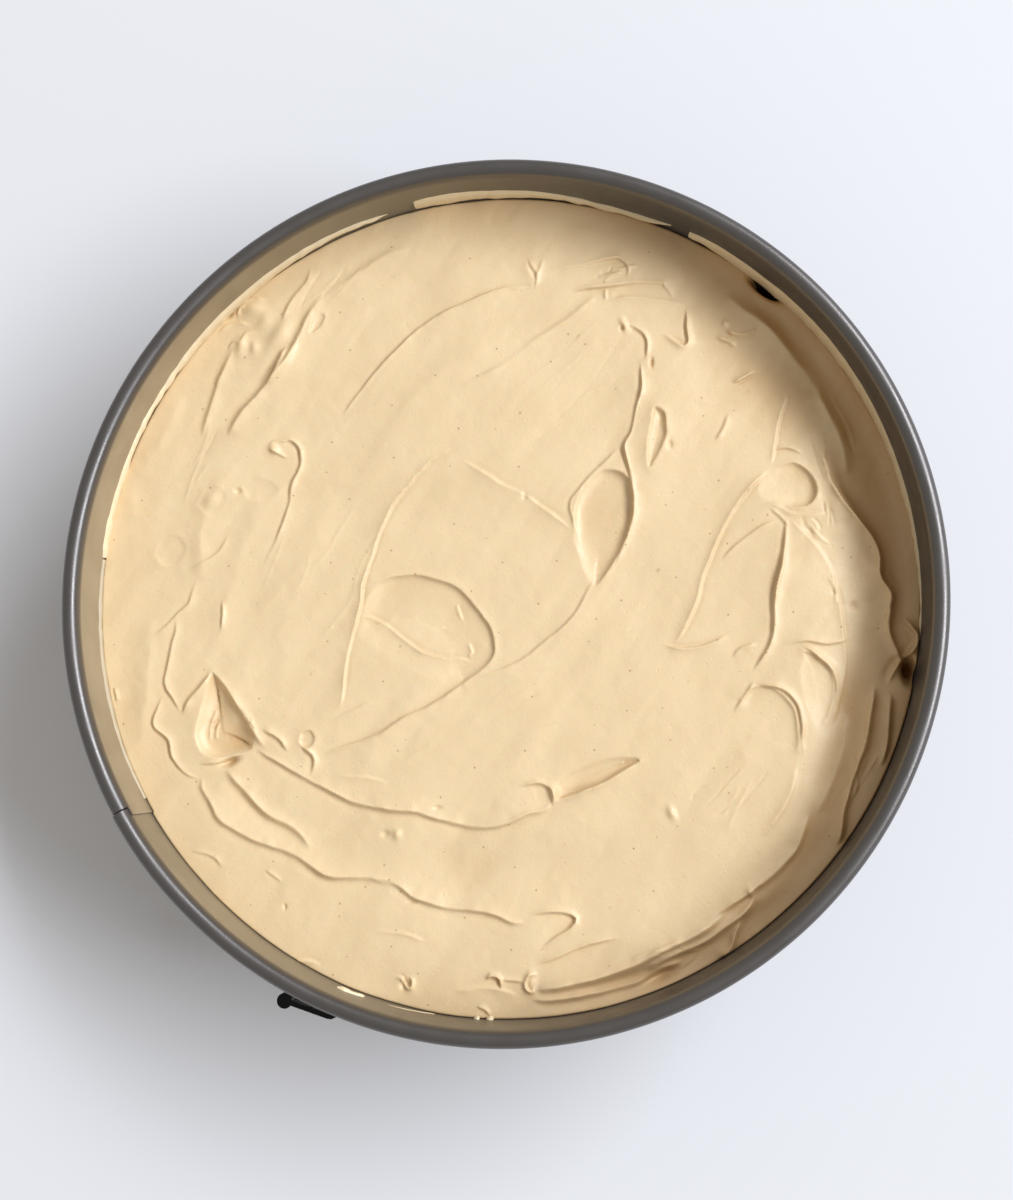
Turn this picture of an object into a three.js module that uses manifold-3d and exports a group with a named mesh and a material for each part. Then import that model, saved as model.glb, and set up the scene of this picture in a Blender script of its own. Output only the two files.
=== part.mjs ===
// Caramel cheesecake, uncut and solid, in its own 23 cm springform tin.
// Millimetres, +Z up, origin on the table under the centre of the tin.
// Angles are degrees round +Z from +X.
import * as THREE from "three";
import { mergeVertices } from "three/addons/utils/BufferGeometryUtils.js";
import Module from "manifold-3d";

const rimRadius = 120; // outside of the rolled rim
const tinHeight = 68;
const rollRadius = 2.35; // sheet rolled over a wire
const sheet = 0.6; // steel of the side
const wallRadius = rimRadius - 2 * rollRadius; // inside of the side
const wallOutside = wallRadius + sheet;
const rollHeight = tinHeight - rollRadius;
const sides = 72; // flats round the tin
const stepDeg = 360 / sides;

const seamDeg = 210; // where the side's two ends meet
const seamGapDeg = 0.2; // between the faces of the two ends
const overlapDeg = 10; // how far the inner end runs on behind the outer one
const lapStep = sheet + 0.15; // the outer end stands out by this
const lapEaseDeg = 20; // then eases back to the round
const tailShy = 0.02; // the tail is this much thinner on each face
const tailLow = 8.6; // clear of the groove
const tailDrop = 0.5; // its top stops below the roll

const grooveDepth = 2.2; // the side bulges out to hold the base
const grooveLow = 3.8;
const grooveHigh = 5.6;
const grooveBend = 0.7; // the groove's corners are cut back by this
const grooveSlope = 1.2; // height of its slopes
const hemOut = 2.2; // the foot is folded outward
const hemHigh = 1.3;
const hemRound = 0.3;

const baseRadius = wallRadius + grooveDepth - 0.4;
const baseLow = 3.9;
const baseThickness = 0.9;
const baseStep = 0.7; // the middle is pressed up
const baseStepRadius = 103;
const baseStepSlope = 1.5;

const gap = 0.3; // between pieces that touch
const cakeRadius = wallRadius - gap;
const cakeLow = baseLow + baseStep + baseThickness + gap;
const cakeHigh = 48; // 20 mm under the rim
const cakeRings = 11;
const cakeEdge = 2.2; // rounded top edge

const pinRadius = 1.0;
const holeRadius = 1.35;
const sleeveRadius = 2.1;
const leverThickness = 1.4;
const leverLow = 39;
const leverHigh = 51;
const pivot = { r: 120.5, deg: 221 }; // lever on its bracket
const bailPivot = { r: 120.2, deg: 224.5 }; // bail on the lever
const bailCatch = { r: 119.7, deg: 203 }; // bail in the keeper's hook
const bailLow = 35.6;
const bailHigh = 54.4;
const wireRadius = 1.0;
const bendRound = 2.8; // bends at the wire's corners
const tabRoll = { r: 125.7, deg: 241.7, radius: 2.15 }; // rolled finger edge
const bendDeg = 247.5; // where the lever turns back on itself
const bendRadius = 1.8;
const ear = 0.8; // sheet of the bracket
const earRoom = 0.6; // between an ear and the lever
const plateDeg = 3.2; // half the bracket's plate
const keeperSheet = 0.9;
const keeperLow = 37;
const keeperHigh = 53;
const keeperPlateDeg = 4.2; // the keeper's plate before the catch
const hookLow = 41;
const hookHigh = 49;
const hookRoom = 1.3; // between the wire and the hook's lip
const cutPast = 1; // cuts run past the faces they open

const colours = {
  side_ring: 0x5a5652,
  base_plate: 0x4c4947,
  cheesecake: 0xf0dab0,
  latch_bracket: 0x8f8f8c,
  latch_keeper: 0x8f8f8c,
  latch_lever: 0x242424,
  latch_bail: 0xa5a5a2,
};

const wasm = await Module();
wasm.setup();

const group = new THREE.Group();
group.name = "caramel_cheesecake";

function place(r, deg) {
  const a = THREE.MathUtils.degToRad(deg);
  return new THREE.Vector2(r * Math.cos(a), r * Math.sin(a));
}

function addPiece(name, geometry) {
  const material = new THREE.MeshStandardMaterial({ color: colours[name] });
  material.name = name;
  const mesh = new THREE.Mesh(geometry, material);
  mesh.name = name;
  group.add(mesh);
  return mesh;
}

function fromArrays(points, faces) {
  const geometry = new THREE.BufferGeometry();
  const flat = new Float32Array(points.flat());
  geometry.setAttribute("position", new THREE.BufferAttribute(flat, 3));
  geometry.setIndex(faces.flat());
  return geometry;
}

function toSolid(geometry) {
  const bare = geometry.clone();
  bare.deleteAttribute("normal");
  bare.deleteAttribute("uv");
  const merged = mergeVertices(bare, 1e-4);
  const mesh = new wasm.Mesh({
    numProp: 3,
    vertProperties: new Float32Array(merged.attributes.position.array),
    triVerts: new Uint32Array(merged.index.array),
  });
  return new wasm.Manifold(mesh);
}

function fromSolid(solid) {
  const mesh = solid.getMesh();
  const geometry = new THREE.BufferGeometry();
  const points = new Float32Array(mesh.vertProperties);
  geometry.setAttribute("position", new THREE.BufferAttribute(points, 3));
  geometry.setIndex(new THREE.BufferAttribute(new Uint32Array(mesh.triVerts), 1));
  const flat = geometry.toNonIndexed();
  flat.computeVertexNormals();
  return flat;
}

function withNormals(geometry) {
  const flat = geometry.toNonIndexed();
  flat.computeVertexNormals();
  return flat;
}

// Carries a closed (r, z) outline round the axis, with an end cap at each end.
function sweepRound(outline, fromDeg, toDeg, steps, shiftAt) {
  const count = outline.length;
  const points = [];
  const faces = [];
  for (let i = 0; i <= steps; i += 1) {
    const deg = fromDeg + ((toDeg - fromDeg) * i) / steps;
    for (const [r, z] of outline) {
      const p = place(r + shiftAt(deg), deg);
      points.push([p.x, p.y, z]);
    }
  }
  for (let i = 0; i < steps; i += 1) {
    for (let k = 0; k < count; k += 1) {
      const a = i * count + k;
      const b = i * count + ((k + 1) % count);
      const c = a + count;
      const d = b + count;
      faces.push([a, c, b]);
      faces.push([b, c, d]);
    }
  }
  const contour = outline.map(([r, z]) => new THREE.Vector2(r, z));
  const last = steps * count;
  for (const [a, b, c] of THREE.ShapeUtils.triangulateShape(contour, [])) {
    faces.push([a, b, c]);
    faces.push([last + a, last + c, last + b]);
  }
  return fromArrays(points, faces);
}

function sideOutline() {
  const outline = [];
  const hem = wallRadius + hemOut;
  const inner = wallRadius + grooveDepth;
  const outer = inner + sheet;
  outline.push([hem - hemRound, 0]);
  outline.push([hem, hemRound]);
  outline.push([hem, hemHigh]);
  outline.push([hem - 1, hemHigh + 0.5]);
  outline.push([outer - grooveBend, grooveLow - grooveSlope]);
  outline.push([outer, grooveLow - 0.2]);
  outline.push([outer, grooveHigh + 0.2]);
  outline.push([outer - grooveBend, grooveHigh + grooveSlope]);
  outline.push([wallOutside, grooveHigh + grooveSlope + 1]);
  outline.push([wallOutside, rollHeight - rollRadius]);
  for (let deg = -110; deg <= 170; deg += 20) {
    const a = THREE.MathUtils.degToRad(deg);
    const r = rimRadius - rollRadius + rollRadius * Math.cos(a);
    outline.push([r, rollHeight + rollRadius * Math.sin(a)]);
  }
  outline.push([wallRadius, rollHeight - 0.6]);
  outline.push([wallRadius, grooveHigh + 1.5 * grooveSlope]);
  outline.push([inner - grooveBend, grooveHigh + 0.75 * grooveSlope]);
  outline.push([inner, grooveHigh]);
  outline.push([inner, grooveLow]);
  outline.push([inner - grooveBend, grooveLow - 0.75 * grooveSlope]);
  outline.push([wallRadius, grooveLow - 1.5 * grooveSlope]);
  outline.push([wallRadius, hemRound]);
  outline.push([wallRadius + hemRound, 0]);
  return outline;
}

function lapShift(deg) {
  const past = deg - seamDeg - overlapDeg;
  const t = THREE.MathUtils.clamp(1 - past / lapEaseDeg, 0, 1);
  return lapStep * t * t * (3 - 2 * t);
}

function buildSide() {
  const outline = sideOutline();
  const end = seamDeg + 360 - seamGapDeg;
  const round = sweepRound(outline, seamDeg, end, sides, lapShift);
  const inner = wallRadius + tailShy;
  const outer = wallOutside - tailShy;
  const low = tailLow;
  const high = rollHeight - rollRadius - tailDrop;
  const tongue = [[inner, low], [outer, low], [outer, high], [inner, high]];
  const from = seamDeg - stepDeg;
  const to = seamDeg + overlapDeg;
  const flat = () => 0;
  const tail = sweepRound(tongue, from, to, 3, flat);
  return fromSolid(toSolid(round).add(toSolid(tail)));
}

function buildBase() {
  const high = baseLow + baseThickness;
  const profile = [
    [0, baseLow + baseStep],
    [baseStepRadius, baseLow + baseStep],
    [baseStepRadius + baseStepSlope, baseLow],
    [baseRadius, baseLow],
    [baseRadius, high],
    [baseStepRadius + baseStepSlope + 0.4, high],
    [baseStepRadius + 0.4, high + baseStep],
    [0, high + baseStep],
  ];
  const points = profile.map(([r, z]) => new THREE.Vector2(r, z));
  const geometry = new THREE.LatheGeometry(points, sides);
  geometry.rotateX(Math.PI / 2);
  return withNormals(geometry);
}

// Broad swells left by the spatula, with a lower, hollowed right side.
function cakeTop(x, y) {
  const r = Math.hypot(x, y) / cakeRadius;
  const swell = 0.8 * Math.sin(x / 26 + 0.6) * Math.cos(y / 31 - 0.4);
  const cross = 0.6 * Math.sin((x + y) / 19 - 1.1);
  const far = Math.hypot((x - 82) / 30, (y - 32) / 48);
  const hollow = -2.6 * Math.exp(-far * far);
  return cakeHigh + (swell + cross) * (1 - 0.5 * r * r) + hollow;
}

function buildCake() {
  const points = [[0, 0, cakeTop(0, 0)]];
  const faces = [];
  const rings = [];
  for (let i = 1; i <= cakeRings; i += 1) {
    rings.push({ r: ((cakeRadius - cakeEdge) * i) / cakeRings, drop: 0 });
  }
  rings.push({ r: cakeRadius - cakeEdge * 0.3, drop: cakeEdge * 0.3 });
  rings.push({ r: cakeRadius, drop: cakeEdge });
  for (const ring of rings) {
    for (let k = 0; k < sides; k += 1) {
      const p = place(ring.r, k * stepDeg);
      points.push([p.x, p.y, cakeTop(p.x, p.y) - ring.drop]);
    }
  }
  for (let k = 0; k < sides; k += 1) {
    const p = place(cakeRadius, k * stepDeg);
    points.push([p.x, p.y, cakeLow]);
  }
  points.push([0, 0, cakeLow]);
  const bottom = points.length - 1;
  for (let k = 0; k < sides; k += 1) {
    faces.push([0, 1 + k, 1 + ((k + 1) % sides)]);
  }
  for (let i = 0; i < rings.length; i += 1) {
    for (let k = 0; k < sides; k += 1) {
      const a = 1 + i * sides + k;
      const b = 1 + i * sides + ((k + 1) % sides);
      faces.push([a, a + sides, b]);
      faces.push([b, a + sides, b + sides]);
    }
  }
  const low = 1 + rings.length * sides;
  for (let k = 0; k < sides; k += 1) {
    faces.push([bottom, low + ((k + 1) % sides), low + k]);
  }
  return withNormals(fromArrays(points, faces));
}

// A strip of sheet standing on edge, drawn in plan and carried up.
function stripSolid(path, thickness, low, high) {
  const left = [];
  const right = [];
  for (let i = 0; i < path.length; i += 1) {
    const before = path[Math.max(i - 1, 0)];
    const after = path[Math.min(i + 1, path.length - 1)];
    const along = after.clone().sub(before).normalize();
    const across = new THREE.Vector2(-along.y, along.x);
    const half = across.multiplyScalar(thickness / 2);
    left.push(path[i].clone().add(half));
    right.push(path[i].clone().sub(half));
  }
  return prismSolid([...right, ...left.reverse()], low, high);
}

function prismSolid(outline, low, high) {
  const shape = new THREE.Shape(outline);
  const options = { depth: high - low, bevelEnabled: false };
  const geometry = new THREE.ExtrudeGeometry(shape, options);
  geometry.translate(0, 0, low);
  return toSolid(geometry);
}

function rodSolid(at, radius, low, high, flats = 20) {
  const outline = [];
  for (let k = 0; k < flats; k += 1) {
    const a = (2 * Math.PI * k) / flats;
    const x = at.x + radius * Math.cos(a);
    outline.push(new THREE.Vector2(x, at.y + radius * Math.sin(a)));
  }
  return prismSolid(outline, low, high);
}

function arcPath(r, fromDeg, toDeg, steps) {
  const path = [];
  for (let i = 0; i <= steps; i += 1) {
    path.push(place(r, fromDeg + ((toDeg - fromDeg) * i) / steps));
  }
  return path;
}

function buildLever() {
  const path = arcPath(pivot.r, pivot.deg, bendDeg, 12);
  const centre = place(pivot.r + bendRadius, bendDeg);
  for (let turn = 150; turn >= 30; turn -= 30) {
    const a = THREE.MathUtils.degToRad(bendDeg + turn);
    const x = centre.x + bendRadius * Math.cos(a);
    path.push(new THREE.Vector2(x, centre.y + bendRadius * Math.sin(a)));
  }
  const roll = place(tabRoll.r, tabRoll.deg);
  const out = place(pivot.r + 2 * bendRadius, bendDeg);
  path.push(out);
  path.push(out.clone().lerp(roll, 0.5));
  path.push(roll);
  const low = leverLow;
  const high = leverHigh;
  const at = place(pivot.r, pivot.deg);
  const bail = place(bailPivot.r, bailPivot.deg);
  let solid = stripSolid(path, leverThickness, low, high);
  solid = solid.add(rodSolid(roll, tabRoll.radius, low, high, 24));
  solid = solid.add(rodSolid(at, sleeveRadius, low, high));
  solid = solid.add(rodSolid(bail, sleeveRadius, low, high));
  for (const hole of [at, bail]) {
    const cut = rodSolid(hole, holeRadius, low - cutPast, high + cutPast);
    solid = solid.subtract(cut);
  }
  return fromSolid(solid);
}

function buildBracket() {
  const low = leverLow - earRoom;
  const high = leverHigh + earRoom;
  const foot = wallOutside + lapStep + gap + ear / 2;
  const plate = arcPath(foot, pivot.deg - plateDeg, pivot.deg + plateDeg, 4);
  let solid = stripSolid(plate, ear, low - ear, high + ear);
  const at = place(pivot.r, pivot.deg);
  const wide = place(foot, pivot.deg);
  for (const [from, to] of [[low - ear, low], [high, high + ear]]) {
    solid = solid.add(rodSolid(at, sleeveRadius, from, to));
    solid = solid.add(stripSolid([wide, at], 2 * sleeveRadius, from, to));
  }
  solid = solid.add(rodSolid(at, pinRadius, low - ear, high + ear));
  return fromSolid(solid);
}

function buildKeeper() {
  const thick = keeperSheet;
  const foot = wallOutside + gap + thick / 2;
  const from = bailCatch.deg - keeperPlateDeg;
  const plate = arcPath(foot, from, bailCatch.deg + plateDeg, 4);
  let solid = stripSolid(plate, thick, keeperLow, keeperHigh);
  const stand = bailCatch.deg + 0.9;
  const lip = bailCatch.r + wireRadius + hookRoom + thick / 2;
  const hook = [
    place(foot, stand + 0.25),
    place(bailCatch.r, stand),
    place(lip - 1.6, stand - 0.02),
    place(lip - 0.5, stand - 0.15),
    place(lip, stand - 0.6),
    place(lip, stand - 1.4),
  ];
  solid = solid.add(stripSolid(hook, thick, hookLow, hookHigh));
  return fromSolid(solid);
}

// The bail's loop as (along, height), a rectangle with rounded corners.
function bailLoop(length) {
  const corners = [
    { x: length - bendRound, z: bailHigh - bendRound, from: 90 },
    { x: length - bendRound, z: bailLow + bendRound, from: 0 },
    { x: bendRound, z: bailLow + bendRound, from: -90 },
    { x: bendRound, z: bailHigh - bendRound, from: -180 },
  ];
  const loop = [];
  const runs = 9;
  for (let i = 1; i < runs; i += 1) {
    const x = bendRound + ((length - 2 * bendRound) * i) / runs;
    loop.push([x, bailHigh]);
  }
  for (const corner of corners) {
    for (let turn = 0; turn <= 90; turn += 30) {
      const a = THREE.MathUtils.degToRad(corner.from - turn);
      const x = corner.x + bendRound * Math.cos(a);
      loop.push([x, corner.z + bendRound * Math.sin(a)]);
    }
    if (corner === corners[1]) {
      for (let i = runs - 1; i > 0; i -= 1) {
        const x = bendRound + ((length - 2 * bendRound) * i) / runs;
        loop.push([x, bailLow]);
      }
    }
  }
  return loop;
}

// Bent wire, closed on itself, that follows the round of the tin.
function buildBail() {
  const swing = THREE.MathUtils.degToRad(bailPivot.deg - bailCatch.deg);
  const length = (swing * (bailPivot.r + bailCatch.r)) / 2;
  const loop = bailLoop(length).map(([x, z]) => {
    const t = x / length;
    const deg = bailPivot.deg + (bailCatch.deg - bailPivot.deg) * t;
    const flat = place(bailPivot.r + (bailCatch.r - bailPivot.r) * t, deg);
    return new THREE.Vector3(flat.x, flat.y, z);
  });
  const count = loop.length;
  const flats = 10;
  const points = [];
  const faces = [];
  for (let i = 0; i < count; i += 1) {
    const before = loop[(i + count - 1) % count];
    const along = loop[(i + 1) % count].clone().sub(before).normalize();
    const out = new THREE.Vector3(loop[i].x, loop[i].y, 0).normalize();
    const side = along.clone().cross(out).normalize();
    for (let k = 0; k < flats; k += 1) {
      const a = (2 * Math.PI * k) / flats;
      const p = loop[i].clone();
      p.addScaledVector(out, wireRadius * Math.cos(a));
      p.addScaledVector(side, wireRadius * Math.sin(a));
      points.push([p.x, p.y, p.z]);
      const a0 = i * flats + k;
      const b0 = i * flats + ((k + 1) % flats);
      const a1 = ((i + 1) % count) * flats + k;
      const b1 = ((i + 1) % count) * flats + ((k + 1) % flats);
      faces.push([a0, b0, a1]);
      faces.push([b0, b1, a1]);
    }
  }
  return withNormals(fromArrays(points, faces));
}

addPiece("side_ring", buildSide());
addPiece("base_plate", buildBase());
addPiece("cheesecake", buildCake());
addPiece("latch_bracket", buildBracket());
addPiece("latch_keeper", buildKeeper());
addPiece("latch_lever", buildLever());
addPiece("latch_bail", buildBail());

export default group;
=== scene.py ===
import math

import bpy
import numpy as np
from mathutils import Matrix, Vector


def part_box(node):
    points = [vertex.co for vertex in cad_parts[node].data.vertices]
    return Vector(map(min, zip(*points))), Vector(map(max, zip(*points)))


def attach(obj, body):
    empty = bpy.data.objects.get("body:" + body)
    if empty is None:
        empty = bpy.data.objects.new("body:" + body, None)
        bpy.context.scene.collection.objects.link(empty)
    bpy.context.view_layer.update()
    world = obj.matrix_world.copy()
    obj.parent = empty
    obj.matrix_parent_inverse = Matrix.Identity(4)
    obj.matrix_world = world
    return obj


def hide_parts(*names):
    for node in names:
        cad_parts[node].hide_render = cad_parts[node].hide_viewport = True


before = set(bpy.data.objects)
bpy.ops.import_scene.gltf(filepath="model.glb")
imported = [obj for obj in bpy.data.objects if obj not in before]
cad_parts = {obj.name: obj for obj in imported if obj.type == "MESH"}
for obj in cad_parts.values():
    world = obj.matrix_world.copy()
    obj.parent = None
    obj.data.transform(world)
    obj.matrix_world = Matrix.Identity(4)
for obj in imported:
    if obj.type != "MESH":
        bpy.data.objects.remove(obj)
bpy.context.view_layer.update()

print("frame loaded:", sorted(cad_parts))

mm = 0.001
scene = bpy.context.scene
ringLow, ringHigh = (Vector(c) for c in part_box("side_ring"))
cakeLow, cakeHigh = (Vector(c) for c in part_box("cheesecake"))
baseLow, baseHigh = (Vector(c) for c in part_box("base_plate"))
rimRadius = (ringHigh.x - ringLow.x) / 2 / mm  # millimetres from here on
tinHeight = ringHigh.z / mm
cakeRadius = (cakeHigh.x - cakeLow.x) / 2 / mm
wallRadius = cakeRadius + 0.3  # the gap that touching pieces keep


# Small helpers

def toLinear(colour):  # sRGB hex to the linear values that Blender works in
    parts = [int(colour[i:i + 2], 16) / 255 for i in (0, 2, 4)]
    parts = [c / 12.92 if c <= 0.04045 else ((c + 0.055) / 1.055) ** 2.4 for c in parts]
    return (*parts, 1.0)


def newMaterial(name):
    material = bpy.data.materials.new(name)
    material.use_nodes = True
    tree = material.node_tree
    tree.nodes.clear()
    return material, tree


def addNode(tree, kind, links=None, **settings):  # links: socket name or number to a value or a socket
    node = tree.nodes.new(kind)
    for key, value in settings.items():
        setattr(node, key, value)
    for key, value in (links or {}).items():
        if isinstance(value, bpy.types.NodeSocket):
            tree.links.new(value, node.inputs[key])
        else:
            node.inputs[key].default_value = value
    return node


def meshPiece(name, points, faces, material, body="tin", sharp=50):  # edges over sharp degrees stay crisp
    mesh = bpy.data.meshes.new(name)
    mesh.from_pydata([tuple(p) for p in points], [], [tuple(f) for f in faces])
    mesh.materials.append(material)
    mesh.validate()
    mesh.shade_smooth()
    mesh.set_sharp_from_angle(angle=math.radians(sharp))
    piece = bpy.data.objects.new(name, mesh)
    scene.collection.objects.link(piece)
    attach(piece, body)
    return piece


def smoothStep(t):
    t = np.clip(t, 0, 1)
    return t * t * (3 - 2 * t)


def curveThrough(points, step):  # a Catmull-Rom run; columns past x and y are carried straight
    p = np.array(points, float)
    rows = []
    for i in range(len(p) - 1):
        before, start = p[max(i - 1, 0)], p[i]
        end, after = p[i + 1], p[min(i + 2, len(p) - 1)]
        count = max(2, int(np.hypot(*(end - start)[:2]) / step))
        t = np.linspace(0, 1, count, endpoint=False)[:, None]
        curve = 0.5 * ((2 * start) + (end - before) * t + (2 * before - 5 * start + 4 * end - after) * t ** 2
                       + (3 * start - before - 3 * end + after) * t ** 3)
        curve[:, 2:] = (start + (end - start) * t)[:, 2:]
        rows.append(curve)
    rows.append(p[-1:])
    return np.vstack(rows)


def nearestOn(path, x, y):  # distance, side (+1 is left of the run), share of the run, third column
    best = np.full(x.shape, 1e9)
    side = np.ones(x.shape)
    share = np.zeros(x.shape)
    value = np.zeros(x.shape)
    lengths = np.hypot(*np.diff(path[:, :2], axis=0).T)
    total = max(lengths.sum(), 1e-6)
    done = 0.0
    for i, length in enumerate(lengths):
        ax, ay = path[i, :2]
        dx, dy = path[i + 1, :2] - path[i, :2]
        t = np.clip(((x - ax) * dx + (y - ay) * dy) / max(length * length, 1e-9), 0, 1)
        ex, ey = x - ax - t * dx, y - ay - t * dy
        gap = ex * ex + ey * ey
        near = gap < best
        best = np.where(near, gap, best)
        side = np.where(near, np.sign(dx * (y - ay) - dy * (x - ax)), side)
        share = np.where(near, (done + t * length) / total, share)
        value = np.where(near, path[i, 2] + t * (path[i + 1, 2] - path[i, 2]), value)
        done += length
    return np.sqrt(best), side, share, value


# The top of the cheesecake, in millimetres

filling = {
    "level": 48.0,  # 20 mm under the rim
    "cells": 720,  # squares across the top before they are thinned out where it is smooth
    "triangles": 190000,
    "edgeRound": 0.5,
    "edgeDrop": 0.7,  # share of the rounding by which the edge itself drops
    "edgeReach": 0.12,  # nearly touches the wall
    "lipHeight": 0.65,  # shares of the heights and widths listed below
    "lipWidth": 0.46,
    "scoopDepth": 0.75,
    "scratchWidth": 0.36,
    "seed": 23,
}

lipForm = {
    "step": 1.2,  # between the points of a run
    "spread": 3.2,  # the gentle side ends this many of its widths away
    "taper": 4,  # length over which the narrow crest comes up from each end
    "slowTaper": 1.3,  # the broad part takes this many of its widths more
    "longest": (0.25, 0.3),  # but no more than these shares of the run
    "broadShare": 0.6,  # of the height; the rest is the narrow crest
    "undercut": 0.18,  # share of the height that is missing at the steep side's foot
}

scoopForm = {
    "step": 1.0,
    "margin": 6,  # the rim outside is nothing past this
    "crispFrom": 2.2,  # a slope narrower than this begins to have a raised rim
    "crispOver": 1.2,
    "rimOutside": 1.3,
    "rimInside": 0.4,
    "steepness": 1.3,
}

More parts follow.
